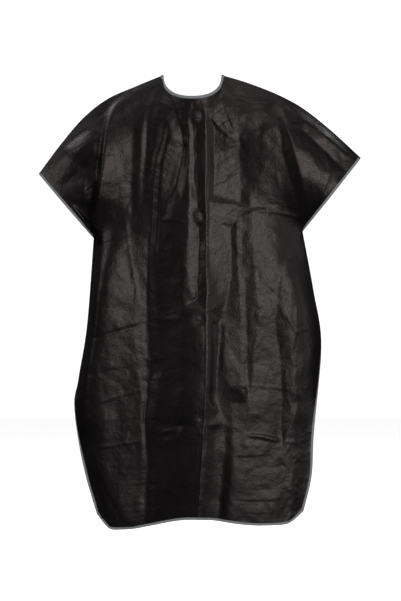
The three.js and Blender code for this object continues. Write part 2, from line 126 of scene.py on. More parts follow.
def neck_point(x, back=False):
    """The neck edge at x, as (x, y, z)."""
    x = np.asarray(x, float)
    sine = np.minimum(1, abs(x / NECK["half_width"]) ** NECK["squareness"])
    cosine = np.sqrt(1 - sine * sine)
    y = cosine * (NECK["back_depth"] if back else -NECK["front_depth"])
    drop = NECK["back_drop"] if back else NECK["front_drop"]
    return np.stack([x + 0 * y, y, -drop * cosine ** NECK["power"]], -1)


def hem_point(x):
    """The front hem at x, as (x, y, z)."""
    x = np.asarray(x, float)
    arch = np.sqrt(1 - (x / HEM["reach"]) ** 2)
    share = np.sin(np.minimum(1, abs(x) / HEM["drop_reach"]) * math.pi / 2) ** 2
    drop = np.where(x < 0, SIDES["right"]["hem_drop"], SIDES["left"]["hem_drop"])
    return np.stack([x + 0 * arch, -HEM["front_depth"] * arch, HEM["front_z"] - drop * share], -1)


def flap_grid(side, u, v):
    """A front's flap, from its fold (u = 0) to its free edge, as straight lines up."""
    s = SIDES[side]
    neck_x, hem_x = (
        np.where(u < FAN, mix(fold, line, u / FAN), mix(line, edge, (u - FAN) / STRIP_SHARE))
        for fold, (line, edge) in zip(s["fold"], s["strip"]))
    grid = mix(hem_point(hem_x), neck_point(neck_x), v[:, None, None])
    grid[..., 1] -= s["layer"] * smoothstep(u / FAN)
    return grid


def side_grid(side, u, v, back):
    """One side, front or back, from its inner line (u = 0) to its outer edge (u = 1)."""
    s = SIDES[side]
    out, share, (neck_x, hem_x) = (
        (1, BACK_NECK_SHARE, (0, 0)) if back else (-1, s["neck_share"], s["fold"]))
    neck_depth = abs(neck_point(neck_x, back)[1])
    hem_depth = HEM["back_depth"] if back else -hem_point(hem_x)[1]

    first = math.asin(abs(neck_x / NECK["half_width"]) ** NECK["squareness"])
    angle = mix(first, math.pi / 2, np.minimum(1, u / share))
    neck_out = NECK["half_width"] * np.sin(angle) ** (1 / NECK["squareness"])
    on_neck = neck_point(s["sign"] * neck_out, back)
    on_neck[:, 1] = out * np.maximum(SEAM_HALF_GAP, abs(on_neck[:, 1]))
    ridge = spline_even(s["ridge"], (u - share) / (1 - share))
    on_ridge = np.stack([ridge[:, 0], 0 * u + out * SEAM_HALF_GAP, ridge[:, 1]], -1)
    top = np.where((u < share)[:, None], on_neck, on_ridge)

    tip, underarm = np.array(s["ridge"][-1], float), np.array(s["edge"][-1], float)
    corner, bottom = np.array(s["edge"][0], float), spline(s["back_hem" if back else "hem"], u)
    v = v[:, None]
    up = (v - UNDERARM) / (1 - UNDERARM)
    outer = np.where(up <= 0, spline_even(s["edge"], v[:, 0] / UNDERARM), mix(underarm, tip, up))

    sleeve = SLEEVE_HALF_DEPTH * np.sin(math.pi * np.clip(up, 0, 1)) ** SLEEVE_ARC
    slit = SLIT_DEPTH * smoothstep((s["slit_top"] - v) / s["slit_top"])
    outer_depth = SEAM_HALF_GAP + np.where(up > 0, sleeve, slit)
    inner_depth = mix(hem_depth, neck_depth, v)
    rise = smoothstep((v - UNDERARM + SLEEVE_RISE) / SLEEVE_RISE)
    above = smoothstep((v - SKIRT_TOP) / SKIRT_RISE)
    body = BACK_PLAN if back else [
        mix(low, high, above) for low, high in zip(s["skirt_plan"], s["body_plan"])]
    spread, roundness = (mix(a, b, rise) for a, b in zip(body, SLEEVE_PLAN))
    bulge = 0 if back else s["bulge"] * np.sin(math.pi * u)
    full = mix(outer_depth, inner_depth, (1 - u**spread) ** roundness) + bulge * v
    full_top = mix(SEAM_HALF_GAP, neck_depth, (1 - u ** SLEEVE_PLAN[0]) ** SLEEVE_PLAN[1]) + bulge
    shoulder = np.maximum(0, 1 - (1 - v) * abs(HEM["front_z"]) / SHOULDER_ROUND) ** 2
    depth = full - shoulder * (full_top - abs(top[:, 1]))

    v = v[..., None]
    flat = mix(bottom, top[:, ::2], v) + u[:, None] * (outer[:, None] - mix(corner, tip, v))
    return np.stack([flat[..., 0], out * depth, flat[..., 1]], -1)


# ---- Relief: folds, packing creases and crumple

# The longest span of a fold line, how near two points merge, and a height above every fold
FACET_STEP, FACET_MERGE, FACET_SKY = 24, 0.5, 500


class Facets:
    """A height over (x, z) that is flat between lines of given heights, with crisp edges."""

    def __init__(self, lines, loose=()):
        points, edges = [], []
        for line in lines:
            line = np.array(line, float)
            spans = [max(1, int(np.hypot(*(b - a)[:2]) / FACET_STEP))
                     for a, b in zip(line, line[1:])]
            dense = [mix(a, b, k / n) for a, b, n in zip(line, line[1:], spans) for k in range(n)]
            first = len(points)
            points += [*dense, line[-1]]
            edges += [(i, i + 1) for i in range(first, len(points) - 1)]
        points += [np.array(p, float) for p in loose]
        flat = [Vector((p[0], p[1])) for p in points]
        verts, _, faces, origin, _, _ = delaunay_2d_cdt(flat, edges, [], 0, FACET_MERGE)
        heights = [np.mean([points[i][2] for i in found]) if found else None for found in origin]
        for i, height in enumerate(heights):
            if height is None:  # two lines cross here
                at = np.array((verts[i].x, verts[i].y))
                near = sorted((np.hypot(*(at - p[:2])), p[2]) for p in points)[:2]
                heights[i] = sum(h for _, h in near) / 2
        corners = [Vector((v.x, v.y, h)) for v, h in zip(verts, heights)]
        self.tree = BVHTree.FromPolygons(corners, faces)

    def __call__(self, x, z):
        down, found = Vector((0, 0, -1)), np.zeros(x.size)
        for i, (a, b) in enumerate(zip(x.ravel(), z.ravel())):
            hit = self.tree.ray_cast(Vector((a, b, FACET_SKY)), down)[0]
            found[i] = 0 if hit is None else hit.z
        return found.reshape(x.shape)


SCATTER_X, SCATTER_Z, SCATTER_JUMP = (-440, 440), (-1130, 40), 0.42


def scatter(seed, across, down, height):
    """Points with random heights, about that far apart across and down."""
    rng = np.random.default_rng(seed)
    points = []
    for k, z in enumerate(np.arange(*SCATTER_Z, down)):
        for x in np.arange(*SCATTER_X, across):
            jump = rng.uniform(-SCATTER_JUMP, SCATTER_JUMP, 2)
            points.append((x + (k % 2) * across / 2 + jump[0] * across,
                           z + jump[1] * down, rng.uniform(-height, height)))
    return points


def distance_to(line, x, z):
    """How far each (x, z) is from a line of (x, z) points, and how far along the line it lies."""
    line = np.array(line, float)[:, :2]
    p = np.stack([x, z], -1)
    best, where, done = np.full(x.shape, 1e9), np.zeros(x.shape), 0.0
    total = np.linalg.norm(np.diff(line, axis=0), axis=1).sum()
    for a, b in zip(line, line[1:]):
        d = b - a
        length = np.hypot(*d)
        t = np.clip(((p - a) @ d) / length**2, 0, 1)
        far = np.linalg.norm(p - a - t[..., None] * d, axis=-1)
        closer = far < best
        best = np.where(closer, far, best)
        where = np.where(closer, (done + t * length) / total, where)
        done += length
    return best, where


CREASE_ENDS, CREASE_EDGE = 6, 1.5  # a crease fades in its first and last sixth


def crease(line, height, width, x, z):
    """A sharp ridge, or a groove where height is negative, that dies away at its ends."""
    far, along = distance_to(line, x, z)
    ends = np.clip(np.minimum(along, 1 - along) * CREASE_ENDS, 0, 1)
    return height * ends * np.maximum(0, 1 - far / width) ** CREASE_EDGE


def soften(grid, rounds):
    """Blurs a grid of numbers a little, so that a crisp edge gets the radius of thin cloth."""
    for _ in range(rounds):
        padded = np.pad(grid, 1, mode="edge")
        grid = (padded[:-2, 1:-1] + padded[2:, 1:-1] + padded[1:-1, :-2] + padded[1:-1, 2:]
                + 2 * grid) / 6
    return grid


# Ridges and valleys of the front, from the neck down: (x, z, height)
FRONT_FOLDS = [
    # right sleeve
    [(-206, -96, -2), (-256, -128, -5), (-302, -160, -3)],
    [(-216, -150, 0), (-262, -172, 3), (-330, -214, 3)],
    [(-222, -200, -2), (-258, -222, -7), (-300, -262, -5)],
    [(-230, -262, 0), (-258, -280, 4), (-286, -312, 2)],
    # where the body turns into the sleeve
    [(-186, -60, -1), (-206, -90, -3), (-215, -147, -4), (-224, -232, -5), (-234, -295, -4),
     (-243, -350, -2)],
    [(-160, -44, 0), (-194, -90, 3), (-205, -147, 10), (-213, -232, 22), (-222, -295, 30),
     (-229, -359, 31), (-230, -450, 26), (-234, -560, 22), (-246, -700, 19), (-240, -900, 17)],
    # pleats that fan out from the neck
    [(-134, -36, 0), (-168, -100, 0), (-176, -200, 4), (-176, -300, 7), (-178, -420, 9),
     (-186, -560, 10), (-196, -760, 9), (-190, -1000, 7)],
    [(-112, -32, 0), (-134, -100, -5), (-141, -200, -5), (-146, -300, -4), (-146, -400, -2)],
    [(-94, -30, 0), (-114, -100, -1), (-120, -170, -1), (-125, -260, -4), (-130, -360, -5)],
    [(-82, -30, -1), (-99, -90, -4), (-108, -160, -6), (-113, -240, -7), (-118, -310, -7)],
    [(-70, -50, 0), (-78, -100, 0), (-90, -170, -3), (-99, -235, -6.5), (-106, -300, -8)],
    [(-166, -430, 4), (-152, -470, 0), (-130, -560, -4), (-143, -606, 0), (-128, -717, -4),
     (-118, -775, -6), (-114, -849, -7), (-118, -940, -7), (-120, -1080, -6)],
    # the long fold: its crest, the groove beside it and the thin ridge after that
    [(-61, -110, -1), (-67, -142, -5), (-85, -205, -8), (-91, -269, -9), (-94, -350, -10),
     (-99, -401, -11), (-101, -454, -12), (-104, -540, -13), (-103, -612, -14), (-97, -712, -14),
     (-104, -738, -14), (-109, -802, -13), (-106, -860, -13), (-100, -934, -13),
     (-108, -1039, -11), (-110, -1100, -10)],
    [(-56, -128, -1), (-60, -152, -1), (-76, -208, -3), (-81, -269, -3), (-84, -350, -3),
     (-88, -410, -3), (-90, -470, -4), (-86, -540, -4), (-84, -612, -4), (-80, -712, -4),
     (-86, -760, -3), (-90, -840, -3), (-86, -934, -3), (-90, -1080, -2)],
    [(-50, -150, -1), (-65, -190, -1), (-71, -242, -2), (-72, -295, -3), (-75, -380, -5),
     (-79, -440, -5), (-82, -480, -4)],
    # the teardrop of light right of the long fold, and the drop behind it
    [(-44, -80, -2), (-28, -130, -9), (-20, -179, -13), (-22, -216, -13), (-35, -264, -11),
     (-58, -306, -5), (-66, -336, -5)],
    [(-28, -84, -1), (-14, -150, -4), (-12, -200, -4), (-14, -262, -1), (-28, -306, 2),
     (-48, -340, 2), (-60, -380, -1)],
    # the shaded face between the long fold and the placket
    [(-50, -450, 0), (-54, -540, 1), (-52, -640, 2)],
    [(-24, -400, 4), (-26, -470, 6), (-22, -560, 10), (-22, -640, 11), (-18, -720, 12),
     (-24, -900, 11), (-30, -1080, 8)],
    [(-68, -716, -2), (-44, -780, 2), (-24, -836, 6)],
    # the leaf of light on the placket's inner side
    [(-8, -296, 3), (-12, -378, 4), (-14, -453, 5), (-6, -500, 6), (4, -532, 6)],
    [(13, -312, -3), (15, -352, -4), (17, -403, -4), (15, -480, -2), (10, -536, 2)],
    # the placket: its stitched line, puckered along the upper part
    [(-12, -90, -1), (-11, -150, -1), (-9, -201, 0), (-6, -282, 2)],
    [(2, -70, -2), (1, -119, -4), (3, -201, -4.5), (7, -286, -4.5)],
    [(10, -80, -1), (11, -130, -3), (12, -201, -4), (15, -286, -4)],
    # its free edge, whose crest leaves it near the hem
    [(31, -60, 1), (32, -119, 4), (33, -201, 5), (33, -289, 4), (33, -400, 7), (32, -564, 14),
     (33, -646, 16), (31, -779, 17), (18, -968, 16), (12, -1063, 13)],
    [(41, -104, 0), (41, -160, 2), (42, -240, 2), (42, -306, 1), (41, -400, 4), (40, -564, 11),
     (41, -646, 13), (39, -779, 14), (26, -968, 13), (20, -1063, 10)],
    [(33, -968, 7), (28, -1063, 5)],
    [(50, -130, -4), (51, -200, -6), (51, -290, -5)],
    # left front: the shield, the knot under it and the thin ridge that runs down from there
    [(46, -370, 3), (50, -428, 4), (55, -517, 3), (66, -556, 0)],
    [(72, -362, -1), (93, -372, -3), (94, -428, -4), (92, -485, -4), (74, -560, -4)],
    [(47, -600, 4), (46, -690, 5), (42, -760, 4)],
    [(66, -583, -5), (62, -627, -5), (55, -690, -5), (49, -776, -4), (72, -829, -3),
     (71, -918, -5), (64, -1000, -5), (58, -1070, -4)],
    [(76, -600, -2), (74, -690, 0), (84, -741, -1), (122, -750, 7)],
    [(50, -850, 2), (46, -940, 2), (38, -1070, 2)],
    [(90, -780, -1), (92, -850, 0), (92, -940, 3), (82, -1040, 4)],
    # the arch on the chest and the thin ridge below it
    [(70, -84, 0), (90, -150, 0)],
    [(113, -152, -5), (113, -172, -8), (114, -232, -9), (116, -310, -8)],
    [(126, -160, -5), (133, -200, -6), (139, -260, -6), (140, -322, -4)],
    [(106, -350, -1), (108, -430, -1), (112, -517, -0.5), (116, -640, 0), (120, -740, 1)],
    [(118, -340, -2), (121, -430, -2), (125, -510, -2), (128, -600, -2), (131, -700, -2),
     (132, -780, 0), (129, -852, -1)],
    # the broad band of light, waisted in the middle, and the face below it
    [(142, -330, 0), (148, -441, 0), (154, -529, 0), (158, -600, 0), (148, -660, 0),
     (142, -740, 0), (136, -800, 0)],
    [(168, -160, -3), (190, -240, -6), (232, -336, -9), (224, -428, -9), (204, -504, -8),
     (195, -592, -7), (207, -650, -8), (210, -753, -9), (213, -860, -9)],
    [(213, -886, -7), (218, -960, -8), (214, -1090, -6)],
    [(136, -880, 2), (112, -960, 4), (87, -1057, 4)],
    [(250, -420, -5), (238, -500, -4), (226, -592, -3), (238, -700, -3), (246, -800, -3)],
    # where the body turns into the left sleeve, and the sleeve
    [(192, -71, -2), (203, -106, -5), (215, -170, -6), (229, -232, -7), (253, -321, -5),
     (266, -350, -2)],
    [(214, -84, 2), (226, -130, 5), (244, -200, 7), (262, -270, 6), (274, -320, 3)],
    [(264, -108, 4), (324, -152, 8), (386, -202, 5)],
    [(266, -136, -4), (318, -186, -6), (366, -232, -4)],
    [(282, -190, 3), (300, -240, 5), (306, -300, 3)],
]
# Packing creases of the front: (height, half width, points along it)
FRONT_CREASES = [
    (-0.9, 6, (-233, -417), (-162, -390), (-146, -384)),
    (0.9, 7, (-162, -327), (-146, -440), (-124, -560)),
    (-0.6, 5, (-152, -330), (-114, -319)),
    (-2.2, 8, (-246, -633), (-146, -606), (-114, -596)),
    (1.4, 6, (-228, -783), (-170, -764), (-118, -751)),
    (1.4, 6, (-240, -889), (-180, -880), (-112, -868)),
    (-1.2, 9, (-246, -881), (-209, -976), (-157, -1076)),
    (1.2, 6, (-77, -349), (-40, -352), (-14, -354)),
    (1.2, 6, (-66, -586), (-44, -584), (-20, -586)),
    (1.5, 6, (-80, -853), (-50, -845), (-22, -836)),
    (1.7, 6, (38, -311), (90, -314), (144, -325)),
    (1.6, 6, (140, -327), (190, -330), (260, -342)),
    (0.8, 6, (38, -352), (80, -356), (118, -366)),
    (0.8, 6, (96, -735), (170, -744), (224, -750)),
    (3.2, 8, (124, -856), (166, -861), (212, -873)),
    (1.0, 7, (208, -873), (250, -876), (280, -868)),
    (3.0, 7, (77, -50), (130, -62), (196, -73)),
    (1.6, 7, (194, -71), (197, -92), (204, -110)),
    (2.0, 8, (39, -113), (45, -106), (62, -128), (90, -152)),
    (1.6, 8, (113, -166), (121, -148), (134, -139), (162, -144)),
    (-1.6, 8, (68, -80), (84, -112), (94, -148)),
    (2.4, 6, (49, -778), (72, -829)),
    (1.4, 5, (66, -583), (55, -690), (49, -778)),
    (1.4, 5, (72, -836), (71, -918), (58, -1060)),
    (0.8, 5, (33, -300), (33, -646), (31, -779), (18, -968), (12, -1063)),
    (1.5, 5, (-94, -350), (-101, -454), (-104, -540), (-103, -612), (-97, -712), (-106, -860),
      (-100, -934), (-109, -1080)),
    (1.8, 8, (74, -560), (66, -584)),
    (1.2, 8, (214, -560), (247, -617), (282, -600)),
    (1.0, 8, (226, -680), (247, -617), (250, -540)),
    (1.4, 10, (-300, -180), (-262, -250), (-250, -330)),
    (1.4, 10, (310, -170), (330, -230), (300, -300)),
]
# Patches of finer crumple: (x, z, reach across, reach down, strength)
FRONT_PATCHES = [
    (242, -960, 34, 80, 1.6), (182, -116, 30, 40, 1.8), (180, -480, 40, 160, 0.6),
    (-48, -850, 30, 24, 1.0), (60, -590, 16, 30, 0.8), (-100, -1060, 20, 26, 1.8),
    (-110, -690, 20, 60, 0.8), (-290, -220, 60, 80, 0.5), (290, -130, 50, 40, 1.0),
]
# The back isn't seen, so its folds are guessed from the front's.
BACK_FOLDS = [
    [(-52, -70, 1), (-70, -200, 5), (-92, -420, 9), (-104, -700, 12), (-116, -1080, 11)],
    [(-34, -80, 0), (-44, -200, -3), (-58, -420, -6), (-70, -700, -8), (-74, -1080, -8)],
    [(-8, -60, 0), (-10, -240, 3), (-20, -520, 5), (-16, -800, 7), (-22, -1070, 7)],
    [(30, -66, 0), (26, -260, -3), (22, -540, -5), (30, -820, -6), (26, -1070, -6)],
    [(60, -60, 1), (78, -220, 5), (84, -460, 8), (104, -760, 10), (98, -1070, 10)],
    [(84, -50, 0), (112, -240, -3), (126, -480, -5), (142, -760, -6), (140, -1070, -6)],
    [(110, -40, 1), (156, -200, 4), (178, -420, 6), (192, -720, 8), (198, -1070, 7)],
    [(-84, -40, 0), (-124, -220, -3), (-138, -460, -5), (-152, -740, -6), (-158, -1070, -6)],
    [(-110, -36, 1), (-162, -200, 4), (-182, -430, 6), (-196, -740, 7), (-196, -1070, 7)],
    [(-196, -80, 3), (-222, -200, 7), (-238, -340, 4)],
    [(-230, -96, 0), (-258, -220, -5), (-262, -320, -3)],
    [(-270, -140, 2), (-306, -250, 5)],
    [(216, -80, 3), (242, -200, 7), (262, -340, 3)],
    [(250, -96, 0), (278, -220, -5), (282, -310, -3)],
    [(296, -140, 2), (344, -240, 5)],
    [(-236, -520, 0), (-240, -700, 3), (-226, -900, 2)],
    [(256, -520, 0), (262, -700, 3), (246, -900, 2)],
]
BACK_CREASES = [
    (1.2, 9, (-236, -330), (-60, -318), (110, -326), (262, -316)),
    (-1.2, 9, (-240, -600), (-100, -612), (60, -602), (284, -616)),
    (1.3, 9, (-262, -872), (-90, -866), (80, -874), (272, -862)),
    (1.0, 9, (-118, -60), (-124, -320), (-116, -610), (-122, -1050)),
    (-1.0, 9, (118, -60), (122, -320), (130, -610), (124, -1050)),
    (0.9, 9, (0, -70), (2, -320), (-3, -610), (0, -1040)),
    (1.2, 10, (-310, -170), (-270, -260), (-250, -330)),
    (1.2, 10, (330, -160), (300, -240), (276, -320)),
]
BACK_PATCHES = [(-60, -200, 90, 80, 0.8), (170, -700, 70, 140, 0.6), (-180, -940, 60, 90, 1.0)]
# The snaps' shares of the height, the x of their line at neck and hem, and their radius
SNAP_V = [1 - 0.049 - 0.24 * i for i in range(4)]
SNAP_NECK_X, SNAP_HEM_X, SNAP_RADIUS = 12.0, 15.0, 6.0
FLAT_REACH, SETTLE_REACH = 6.5, 17  # round a snap the cloth lies flat, and then joins the folds


def snap_seats():
    """Where each snap sits on the cone of the fronts, and the direction out of it."""
    across = np.array([-SNAP_RADIUS, 0, SNAP_RADIUS])
    low, high = hem_point(SNAP_HEM_X + across), neck_point(SNAP_NECK_X + across)
    for v in SNAP_V:
        left, middle, right = mix(low, high, v)
        out = np.cross(right - left, high[1] - low[1])
        yield middle, out / np.linalg.norm(out)


# Random crumple: (spacing across and down, height). The first two move the folds sideways.
DRIFT, WAVER, STREAKS = (70, 95, 3), (24, 34, 1.2), (13, 74, 0.6)
MEDIUM, SMALL, TINY = (52, 110, 1.6), (17, 25, 0.7), (8, 10, 0.3)
PATCH_BASE = 0.95
SLEEVE_CRUMPLE = 1.5  # how much more of the medium crumple the sleeves have
SLEEVE_X, SLEEVE_Z = (215, 25), (-380, 40)  # where they begin, and over what distance
BORDER = [  # level points round the cloth
    *((x, z, 0) for x in (-460, 460) for z in range(-1160, 61, 60)),
    *((x, z, 0) for x in range(-400, 401, 80) for z in (-1160, 60)),
]


def relief_maker(folds, creases, patches, seed):
    """The height of the folds, creases and crumple, as a function of (x, z)."""
    drift, waver, streaks = (
        Facets([], scatter(seed + k, *kind)) for k, kind in ((5, DRIFT), (6, WAVER), (7, STREAKS)))
    big = Facets(folds, BORDER)
    medium, small, tiny = (
        Facets([], scatter(seed + k, *kind)) for k, kind in enumerate((MEDIUM, SMALL, TINY)))

    def relief(x, z):
        across = x + soften(drift(x, z), 8) + soften(waver(x, z), 3)
        sleeve = (smoothstep((abs(x) - SLEEVE_X[0]) / SLEEVE_X[1])
                  * smoothstep((z - SLEEVE_Z[0]) / SLEEVE_Z[1]))
        height = soften(big(across, z), 1)
        height += (1 + SLEEVE_CRUMPLE * sleeve) * soften(medium(x, z), 1)
        height += soften(streaks(x, z), 1)
        patch = PATCH_BASE + sum(
            s * np.exp(-(((x - a) / w) ** 2) - ((z - b) / d) ** 2) for a, b, w, d, s in patches)
        height += patch * (small(x, z) + tiny(x, z))
        for rise, width, *line in creases:
            height += soften(crease(line, rise, width, x, z), 1)
        return height

    return relief


front_relief = relief_maker(FRONT_FOLDS, FRONT_CREASES, FRONT_PATCHES, 11)
back_relief = relief_maker(BACK_FOLDS, BACK_CREASES, BACK_PATCHES, 41)


SEATS = list(snap_seats())
seat_xz, reach = np.array([seat[::2] for seat, _ in SEATS]), np.array([-8.0, 0, 8.0])
# How far the folds lift each snap out of the cone, on average across it
SEAT_LIFTS = front_relief(seat_xz[:, :1] + reach, seat_xz[:, 1:] + 0 * reach).mean(1)


def settled_relief(x, z):
    """The front's relief, level round each snap."""
    height = front_relief(x, z)
    for (seat, _), lift in zip(SEATS, SEAT_LIFTS):
        far = np.hypot(x - seat[0], z - seat[2])
        height = mix(lift, height, smoothstep((far - FLAT_REACH) / SETTLE_REACH))
    return height


SEAM_FADE, SEAM_POINTS = 26, 24  # how far from a seam the folds have their full height


def near_seams(grid, *sides):
    """0 on those sides' seams, where front meets back, and 1 away from them."""
    mask = np.ones(grid.shape[:2])
    for s in (SIDES[side] for side in sides):
        for name, start in (("ridge", 0), ("edge", s["slit_top"] / UNDERARM)):
            line = spline_even(s[name], np.linspace(start, 1, SEAM_POINTS))
            mask *= smoothstep(distance_to(line, grid[..., 0], grid[..., 2])[0] / SEAM_FADE)
    return mask


# ---- Mesh helpers

def unit(v):
    return v / np.maximum(1e-12, np.linalg.norm(v, axis=-1, keepdims=True))


def grid_normals(grid, flip):
    across, up = np.gradient(grid, axis=1), np.gradient(grid, axis=0)
    return unit(np.cross(across, up)) * flip


SHARP_ANGLE = 50
INSIDE_UV = 0.003  # how far the cloth's pattern is moved on its inner face
CLOTH_THICKNESS = 0.45


def mesh_object(name, points, faces, uvs, material, body=None):
    """A mesh in metres from points in millimetres. uvs are in metres, one for each point."""
    mesh = bpy.data.meshes.new(name)
    mesh.from_pydata((np.asarray(points) * MM).tolist(), [], [list(map(int, f)) for f in faces])
    layer = mesh.uv_layers.new(name="cloth")
    corner = np.zeros(len(mesh.loops), np.int32)
    mesh.loops.foreach_get("vertex_index", corner)
    layer.data.foreach_set("uv", np.asarray(uvs, np.float32)[corner].ravel())
    mesh.materials.append(material)
    mesh.polygons.foreach_set("use_smooth", [True] * len(mesh.polygons))
    mesh.update()
    mesh.set_sharp_from_angle(angle=math.radians(SHARP_ANGLE))
    made = bpy.data.objects.new(name, mesh)
    bpy.context.scene.collection.objects.link(made)
    if body:
        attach(made, body)
    return made


def closed_sheet(name, grid, flip, body=None, thickness=CLOTH_THICKNESS):
    """A grid of points as cloth with two faces and a rim."""
    rows, columns = grid.shape[:2]
    normal = grid_normals(grid, flip)
    points = np.concatenate([(grid + normal * thickness / 2).reshape(-1, 3),
                             (grid - normal * thickness / 2).reshape(-1, 3)])
    index = np.arange(rows * columns).reshape(rows, columns)
    quads = np.stack([index[:-1, :-1], index[:-1, 1:], index[1:, 1:], index[1:, :-1]], -1)
    outside = quads.reshape(-1, 4)[:, ::flip]
    other = outside[:, ::-1] + rows * columns
    rim = np.concatenate([index[0, :], index[1:, -1], index[-1, -2::-1], index[-2:0:-1, 0]])
    after = np.roll(rim, -1)
    if flip < 0:
        rim, after = after, rim
    sides = np.stack([after, rim, rim + rows * columns, after + rows * columns], -1)
    flat = np.stack([grid[..., 0], grid[..., 2]], -1).reshape(-1, 2) * MM
    faces, uvs = np.concatenate([outside, other, sides]), np.concatenate([flat, flat + INSIDE_UV])
    return mesh_object(name, points, faces, uvs, CLOTH, body)


def full_turn(n):
    return np.linspace(0, 2 * math.pi, n, endpoint=False)


def ring_quads(index):
    """The faces between rings of points, of which index gives the numbers."""
    after = np.roll(index, -1, axis=-1)
    return np.stack([index[..., :-1, :], after[..., :-1, :], after[..., 1:, :],
                     index[..., 1:, :]], -1).reshape(-1, 4)


STITCH_PITCH, STITCH_SIDES = 3.6, 6
# A stitch from end to end: (along, height over the cloth, thread radius)
STITCH = ((-1.35, -0.3, 0.1), (-0.9, 0.05, 0.2), (0, 0.16, 0.24), (0.9, 0.05, 0.2),
          (1.35, -0.3, 0.1))


def stitches(name, path, normal, material, body=None):
    """A row of lock stitches along a path that lies on the cloth."""
    along = lengths(path)
    at = np.arange(STITCH_PITCH / 2, along[-1] - STITCH_PITCH / 2, STITCH_PITCH)
    centre, out = (np.stack([np.interp(at, along, line[:, k]) for k in range(3)], -1)
                   for line in (path, normal))
    out = unit(out)
    ahead = unit(np.gradient(centre, axis=0))
    side_way = unit(np.cross(ahead, out))
    out = np.cross(side_way, ahead)
    turn = full_turn(STITCH_SIDES)
    rings = [centre[:, None] + ahead[:, None] * s
             + out[:, None] * (h + r * np.sin(turn))[None, :, None]
             + side_way[:, None] * (r * np.cos(turn))[None, :, None] for s, h, r in STITCH]
    points = np.stack(rings, 1).reshape(-1, 3)
    index = np.arange(len(points)).reshape(len(at), len(STITCH), STITCH_SIDES)
    faces = [f[::-1] for f in (*ring_quads(index), *index[:, 0, ::-1], *index[:, -1])]
    return mesh_object(name, points, faces, points[:, ::2] * MM, material, body)


# ---- Materials

class Shading:
    """A material being made. A node's inputs are values or the outputs of other nodes."""

    def __init__(self, name):
        self.material = bpy.data.materials.new(name)
        self.material.use_nodes = True
        self.tree = self.material.node_tree

    def feed(self, node, inputs):
        for name, value in inputs.items():
            if isinstance(value, bpy.types.NodeSocket):
                self.tree.links.new(value, node.inputs[name])
            else:
                node.inputs[name].default_value = value

    def node(self, kind, output, inputs):
        """Adds a node and returns the output of that name."""
        made = self.tree.nodes.new(f"ShaderNode{kind}")
        if kind == "Mix":
            made.data_type = "RGBA"
        elif kind == "UVMap":
            made.uv_map = "cloth"
        self.feed(made, inputs)
        return made.outputs[output]

    def solid(self, kind, scale):
        """A texture that fills space round the object."""
        place = self.node("TexCoord", "Object", {})
        return self.node(kind, "Fac", {"Vector": place, "Scale": scale})

    def bump(self, height, strength, distance, before=None):
        under = {} if before is None else {"Normal": before}
        return self.node("Bump", "Normal", {
            "Height": height, "Strength": strength, "Distance": distance, **under})

    def between(self, value, low, high, span=(0, 1)):
        """The value mapped from the span to the range from low to high."""
        return self.node("MapRange", "Result", {
            "Value": value, "From Min": span[0], "From Max": span[1], "To Min": low,
            "To Max": high})

    def shader(self, **inputs):
        """Feeds the shader, with _ for the spaces in its inputs' names, and ends the material."""
        self.feed(self.tree.nodes["Principled BSDF"],
                  {name.replace("_", " "): value for name, value in inputs.items()})
        return self.material


def cloth_material():
    """Thin black cloth with a semi-gloss coating: fine crinkle, a faint weave and soft wear."""
    made = Shading("black_coated_cloth")
    uv = made.node("UVMap", "UV", {})

    def stretched(scale):
        return made.node("Mapping", "Vector", {"Vector": uv, "Scale": scale})

    def noise(scale, detail, stretch=(1, 1, 1), distort=0.0):
        return made.node("TexNoise", "Fac", {
            "Vector": stretched(stretch), "Scale": scale, "Detail": detail,
            "Distortion": distort})

    crinkle = noise(330, 3, distort=0.4)
    facet = made.node("TexVoronoi", "Distance", {"Vector": stretched((1, 0.8, 1)), "Scale": 240})
    chain = made.bump(crinkle, 0.5, 0.0009, made.bump(facet, 0.25, 0.0009))
    for along in ((1, 0.12, 1), (0.12, 1, 1)):  # warp and weft
        chain = made.bump(noise(1400, 1, along), 0.25, 0.0002, chain)
    middle = (0.3, 0.7)  # where most of a noise lies
    tone = made.node("Mix", "Result", {
        "Factor": made.between(noise(9, 3), 0, 1, middle),
        "A": (0.0019, 0.0016, 0.0016, 1), "B": (0.0034, 0.0029, 0.0029, 1)})
    return made.shader(
        Base_Color=tone, Normal=chain, Roughness=made.between(crinkle, 0.36, 0.46, middle),
        Specular_IOR_Level=0.5, Specular_Tint=(1, 0.9, 0.885, 1))


def tape_material():
    """Grey bias tape with a fine diagonal weave."""
    made = Shading("grey_binding_tape")
    uv = made.node("UVMap", "UV", {})
    bias = made.node("Mapping", "Vector", {"Vector": uv, "Rotation": (0, 0, math.radians(45))})
    weave = made.node("TexWave", "Fac", {"Vector": bias, "Scale": 420, "Distortion": 1.5})
    grain = made.node("TexNoise", "Fac", {"Vector": uv, "Scale": 600})
    colour = made.node("Mix", "Result", {
        "Factor": grain, "A": (0.075, 0.078, 0.08, 1), "B": (0.14, 0.145, 0.15, 1)})
    return made.shader(Base_Color=colour, Normal=made.bump(weave, 0.4, 0.0003), Roughness=0.75)


def plastic_material():
    """Moulded black plastic with a faint satin grain."""
    made = Shading("black_snap_plastic")
    grain = made.solid("TexNoise", 900)
    return made.shader(Base_Color=(0.008, 0.008, 0.008, 1), Normal=made.bump(grain, 0.15, 0.0001),
                       Roughness=made.between(grain, 0.42, 0.56))


def thread_material(name, colour):
    """Spun sewing thread: a tight twist in the bump."""
    made = Shading(name)
    twist = made.solid("TexWave", 1500)
    return made.shader(Base_Color=(*colour, 1), Normal=made.bump(twist, 0.5, 0.0001),
                       Roughness=0.6)


CLOTH = cloth_material()
TAPE = tape_material()
PLASTIC = plastic_material()
BLACK_THREAD = thread_material("black_thread", (0.012, 0.012, 0.012))
GREY_THREAD = thread_material("grey_thread", (0.11, 0.112, 0.115))

# ---- Fronts and back

